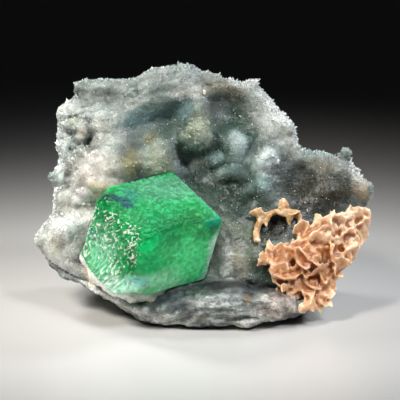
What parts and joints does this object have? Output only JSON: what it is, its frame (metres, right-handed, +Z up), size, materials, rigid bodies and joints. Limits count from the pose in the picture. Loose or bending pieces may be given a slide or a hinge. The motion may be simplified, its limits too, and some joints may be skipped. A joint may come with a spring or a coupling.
{
  "type": "mineral specimen, green fluorite on quartz",
  "caption": "Green cube-like fluorite crystal on a drusy quartz plate with peach bladed crystals and dark foliated host rock, cut flat below to stand on a shelf.",
  "frame": {"origin": "middle of the specimen's width on the floor that its cut base rests on, under the face's foot", "axes": "+X to the right along the specimen's width, -Y out of the face towards the viewer, +Z up, with the cut base facing -Z"},
  "size_m": [0.0902, 0.0555, 0.0637],
  "materials": {
    "host_rock": "foliated, silvery grey, rough",
    "quartz": "sugary grey-white druse with fine glints",
    "fluorite": "translucent green, frosted etched faces",
    "peach_blades": "satin peach blades, pale at their edges"
  },
  "bodies": {
    "root": {"host_rock": "host_rock", "quartz_druse": "quartz", "fluorite_crystal": "fluorite", "peach_blades": "peach_blades", "lone_peach_crystal": "peach_blades"}
  },
  "joints": []
}
